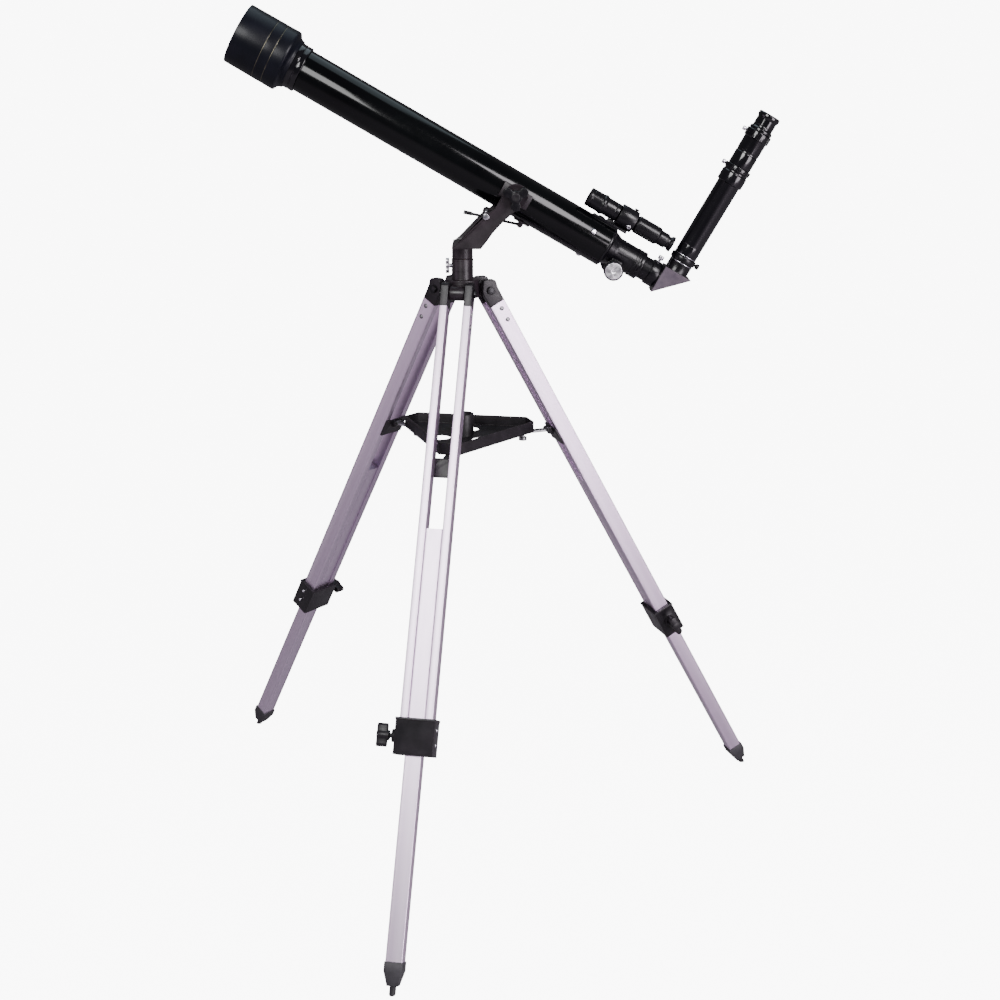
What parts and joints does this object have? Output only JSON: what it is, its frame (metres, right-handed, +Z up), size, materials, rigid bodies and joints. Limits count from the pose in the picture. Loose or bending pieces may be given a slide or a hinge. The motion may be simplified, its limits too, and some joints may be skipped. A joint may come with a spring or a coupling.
{
  "type": "refractor telescope on tripod",
  "caption": "Small black refracting telescope with star diagonal and finder on an alt-azimuth yoke and a folding aluminium tripod with accessory tray.",
  "frame": {"origin": "floor point under the azimuth axis", "axes": "+Z up along the azimuth axis, -X towards the tube's front, +X towards the eyepiece"},
  "size_m": [0.8603, 0.823, 1.233],
  "materials": {
    "tube_enamel": "gloss black enamel on aluminium tube",
    "shield_plastic": "smooth moulded black plastic",
    "fitting_plastic": "moulded black plastic, slightly satin",
    "barrel_anodised": "black anodised turned aluminium",
    "dark_casting": "satin dark enamel on pressed and cast metal",
    "moulded_nylon": "moulded glass-filled nylon",
    "leg_aluminium": "satin anodised extruded aluminium",
    "foot_rubber": "moulded black rubber cap",
    "zinc_steel": "bright plated steel",
    "rod_steel": "blackened steel rod",
    "brass_works": "turned brass",
    "side_plate_metal": "satin grey-purple pressed plate",
    "coated_glass": "coated optical glass"
  },
  "bodies": {
    "stand": {"tripod_head": "dark_casting", "hinge_bolts": "zinc_steel"},
    "lock_screw": {"azimuth_lock_screw": "zinc_steel"},
    "mount": {"yoke": "dark_casting", "azimuth_spindle": "brass_works", "rod_swivel": "zinc_steel"},
    "near_knob": {"near_altitude_knob": "fitting_plastic"},
    "far_knob": {"far_altitude_knob": "fitting_plastic"},
    "telescope": {"main_tube": "tube_enamel", "altitude_bosses": "fitting_plastic", "dew_shield": "shield_plastic", "objective_cell": "shield_plastic", "objective_lenses": "coated_glass", "rod_bracket": "dark_casting", "focuser_body": "fitting_plastic", "focuser_screws": "zinc_steel", "finder_tube": "fitting_plastic", "finder_lenses": "coated_glass", "finder_bracket": "fitting_plastic", "finder_screws": "fitting_plastic"},
    "rod": {"slow_motion_rod": "rod_steel"},
    "draw": {"drawtube": "fitting_plastic"},
    "draw_screw": {"drawtube_thumbscrew": "fitting_plastic"},
    "pinion": {"pinion_shaft": "brass_works", "focus_knobs": "fitting_plastic"},
    "diagonal": {"diagonal_housing": "fitting_plastic", "diagonal_side_plates": "side_plate_metal", "diagonal_prism": "coated_glass"},
    "diagonal_screw": {"diagonal_thumbscrew": "fitting_plastic"},
    "erector": {"erector_tube": "barrel_anodised", "erector_lens": "coated_glass"},
    "barlow": {"barlow_body": "barrel_anodised", "barlow_lens": "coated_glass"},
    "eyepiece": {"eyepiece_body": "barrel_anodised", "eyepiece_lens": "coated_glass"},
    "tray": {"accessory_tray": "moulded_nylon"},
    "right_leg": {"right_hinge_bracket": "moulded_nylon", "right_rails": "leg_aluminium", "right_clamp": "moulded_nylon", "right_brace_bracket": "moulded_nylon"},
    "right_lower_leg": {"right_inner_leg": "leg_aluminium", "right_foot": "foot_rubber"},
    "right_knob": {"right_clamp_knob": "moulded_nylon"},
    "right_brace_bar": {"right_brace": "moulded_nylon"},
    "left_leg": {"left_hinge_bracket": "moulded_nylon", "left_rails": "leg_aluminium", "left_clamp": "moulded_nylon", "left_brace_bracket": "moulded_nylon"},
    "left_lower_leg": {"left_inner_leg": "leg_aluminium", "left_foot": "foot_rubber"},
    "left_knob": {"left_clamp_knob": "moulded_nylon"},
    "left_brace_bar": {"left_brace": "moulded_nylon"},
    "front_leg": {"front_hinge_bracket": "moulded_nylon", "front_rails": "leg_aluminium", "front_clamp": "moulded_nylon", "front_brace_bracket": "moulded_nylon"},
    "front_lower_leg": {"front_inner_leg": "leg_aluminium", "front_foot": "foot_rubber"},
    "front_knob": {"front_clamp_knob": "moulded_nylon"},
    "front_brace_bar": {"front_brace": "moulded_nylon"}
  },
  "joints": [
    {"name": "azimuth", "type": "hinge", "parent": "stand", "child": "mount", "pos_m": [0, 0, 0.887], "axis": [0, 0, 1], "continuous": true},
    {"name": "azimuth_lock", "type": "hinge", "parent": "stand", "child": "lock_screw", "pos_m": [-0.021, 0, 0.876], "axis": [-1, 0, 0], "continuous": true},
    {"name": "altitude", "type": "hinge", "parent": "mount", "child": "telescope", "pos_m": [0.076, 0, 0.978], "axis": [0, 1, 0], "range_deg": [-22, 35]},
    {"name": "near_knob_turn", "type": "hinge", "parent": "mount", "child": "near_knob", "pos_m": [0.076, -0.045, 0.978], "axis": [0, -1, 0], "continuous": true},
    {"name": "far_knob_turn", "type": "hinge", "parent": "mount", "child": "far_knob", "pos_m": [0.076, 0.045, 0.978], "axis": [0, 1, 0], "continuous": true},
    {"name": "rod_pivot", "type": "hinge", "parent": "telescope", "child": "rod", "pos_m": [0.08211, 0, 0.93422], "axis": [0, 1, 0], "range_deg": [-25.4, 16]},
    {"name": "focus", "type": "slide", "parent": "telescope", "child": "draw", "axis": [0.8686, 0, -0.4955], "range_m": [-0.003, 0.06]},
    {"name": "pinion_turn", "type": "hinge", "parent": "telescope", "child": "pinion", "pos_m": [0.2147, 0, 0.87402], "axis": [0, 1, 0], "range_deg": [-44, 862]},
    {"name": "draw_screw_turn", "type": "hinge", "parent": "draw", "child": "draw_screw", "pos_m": [0.28408, 0, 0.88464], "axis": [0.4955, 0, 0.8686], "continuous": true},
    {"name": "diagonal_swivel", "type": "hinge", "parent": "draw", "child": "diagonal", "pos_m": [0.281, 0, 0.86107], "axis": [0.8686, 0, -0.4955], "range_deg": [-90, 90]},
    {"name": "diagonal_screw_turn", "type": "hinge", "parent": "diagonal", "child": "diagonal_screw", "pos_m": [0.33637, 0, 0.87439], "axis": [0.8686, 0, -0.4955], "continuous": true},
    {"name": "erector_slide", "type": "slide", "parent": "diagonal", "child": "erector", "axis": [0.4955, 0, 0.8686], "range_m": [0, 0.02]},
    {"name": "barlow_slide", "type": "slide", "parent": "erector", "child": "barlow", "axis": [0.4955, 0, 0.8686], "range_m": [0, 0.02]},
    {"name": "eyepiece_slide", "type": "slide", "parent": "barlow", "child": "eyepiece", "axis": [0.4955, 0, 0.8686], "range_m": [0, 0.02]},
    {"name": "right_leg_fold", "type": "hinge", "parent": "stand", "child": "right_leg", "pos_m": [0.03289, 0.01197, 0.841], "axis": [-0.342, 0.9397, 0], "range_deg": [0, 22]},
    {"name": "right_leg_length", "type": "slide", "parent": "right_leg", "child": "right_lower_leg", "axis": [0.4532, 0.1649, -0.876], "range_m": [-0.26, 0.2]},
    {"name": "right_clamp_turn", "type": "hinge", "parent": "right_leg", "child": "right_knob", "pos_m": [0.33243, 0.07311, 0.29174], "axis": [0.342, -0.9397, 0], "continuous": true},
    {"name": "right_brace_fold", "type": "hinge", "parent": "right_leg", "child": "right_brace_bar", "pos_m": [0.12689, 0.04618, 0.6201], "axis": [-0.342, 0.9397, 0], "range_deg": [-107.5, 0]},
    {"name": "left_leg_fold", "type": "hinge", "parent": "stand", "child": "left_leg", "pos_m": [-0.02681, 0.0225, 0.841], "axis": [-0.6428, -0.766, 0], "range_deg": [0, 22]},
    {"name": "left_leg_length", "type": "slide", "parent": "left_leg", "child": "left_lower_leg", "axis": [-0.3694, 0.31, -0.876], "range_m": [-0.26, 0.2]},
    {"name": "left_clamp_turn", "type": "hinge", "parent": "left_leg", "child": "left_knob", "pos_m": [-0.22953, 0.25134, 0.29174], "axis": [0.6428, 0.766, 0], "continuous": true},
    {"name": "left_brace_fold", "type": "hinge", "parent": "left_leg", "child": "left_brace_bar", "pos_m": [-0.10344, 0.08679, 0.6201], "axis": [-0.6428, -0.766, 0], "range_deg": [-107.5, 0]},
    {"name": "front_leg_fold", "type": "hinge", "parent": "stand", "child": "front_leg", "pos_m": [-0.00608, -0.03447, 0.841], "axis": [0.9848, -0.1736, 0], "range_deg": [0, 22]},
    {"name": "front_leg_length", "type": "slide", "parent": "front_leg", "child": "front_lower_leg", "axis": [-0.0837, -0.475, -0.876], "range_m": [-0.26, 0.2]},
    {"name": "front_clamp_turn", "type": "hinge", "parent": "front_leg", "child": "front_knob", "pos_m": [-0.1029, -0.32445, 0.29174], "axis": [-0.9848, 0.1736, 0], "continuous": true},
    {"name": "front_brace_fold", "type": "hinge", "parent": "front_leg", "child": "front_brace_bar", "pos_m": [-0.02345, -0.13298, 0.6201], "axis": [0.9848, -0.1736, 0], "range_deg": [-107.5, 0]},
    {"name": "tray_removal", "type": "slide", "parent": "stand", "child": "tray", "axis": [0.1736, 0.9848, 0], "range_m": [0, 0.63]}
  ],
  "couplings": [
    {"joint": "rod_pivot", "follows": "altitude", "ratio": -0.72},
    {"joint": "pinion_turn", "follows": "focus", "rad_per_m": 250},
    {"joint": "right_brace_fold", "follows": "right_leg_fold", "ratio": -4.8636},
    {"joint": "left_leg_fold", "follows": "right_leg_fold", "ratio": 1},
    {"joint": "left_brace_fold", "follows": "right_leg_fold", "ratio": -4.8636},
    {"joint": "front_leg_fold", "follows": "right_leg_fold", "ratio": 1},
    {"joint": "front_brace_fold", "follows": "right_leg_fold", "ratio": -4.8636},
    {"joint": "tray_removal", "follows": "right_leg_fold", "m_per_rad": 1.6}
  ]
}
